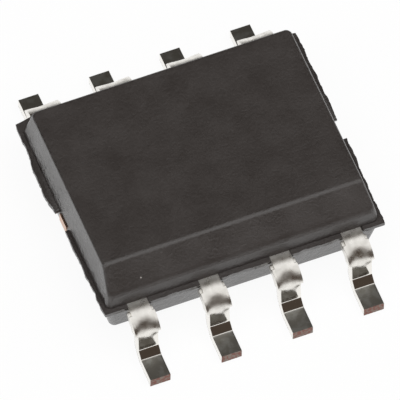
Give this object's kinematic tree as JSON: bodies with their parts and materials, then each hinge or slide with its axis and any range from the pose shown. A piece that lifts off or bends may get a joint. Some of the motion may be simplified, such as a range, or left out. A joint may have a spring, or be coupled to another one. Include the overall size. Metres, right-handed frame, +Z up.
{
  "type": "small-outline integrated circuit package",
  "caption": "Rectangular black moulded chip package with a long chamfer along one top edge and rows of bent gull-wing leads down both long sides, for surface mounting.",
  "frame": {"origin": "on the board plane that the toes of the leads stand on, under the middle of the body", "axes": "+X along the rows of leads, from lead 1 towards lead 4; +Y across the body, from the chamfered side to the other; +Z up, out of the top face"},
  "size_m": [0.005, 0.006, 0.0016],
  "materials": {
    "mould_compound": "moulded black epoxy, satin, faintly mottled",
    "solder_plate": "bright tin plate over bent copper sheet, bare copper at the cut toes",
    "bare_leadframe": "bare copper alloy, dull, pale at the cut ends",
    "die_adhesive": "silver filled epoxy, dull",
    "silicon": "polished silicon, grey",
    "bond_gold": "drawn gold wire, bright"
  },
  "bodies": {
    "root": {"moulded_body": "mould_compound", "die_pad": "bare_leadframe", "die_attach": "die_adhesive", "silicon_die": "silicon", "lead_1": "solder_plate", "lead_2": "solder_plate", "lead_3": "solder_plate", "lead_4": "solder_plate", "lead_5": "solder_plate", "lead_6": "solder_plate", "lead_7": "solder_plate", "lead_8": "solder_plate", "bond_wire_1": "bond_gold", "bond_wire_2": "bond_gold", "bond_wire_3": "bond_gold", "bond_wire_4": "bond_gold", "bond_wire_5": "bond_gold", "bond_wire_6": "bond_gold", "bond_wire_7": "bond_gold", "bond_wire_8": "bond_gold"}
  },
  "joints": []
}
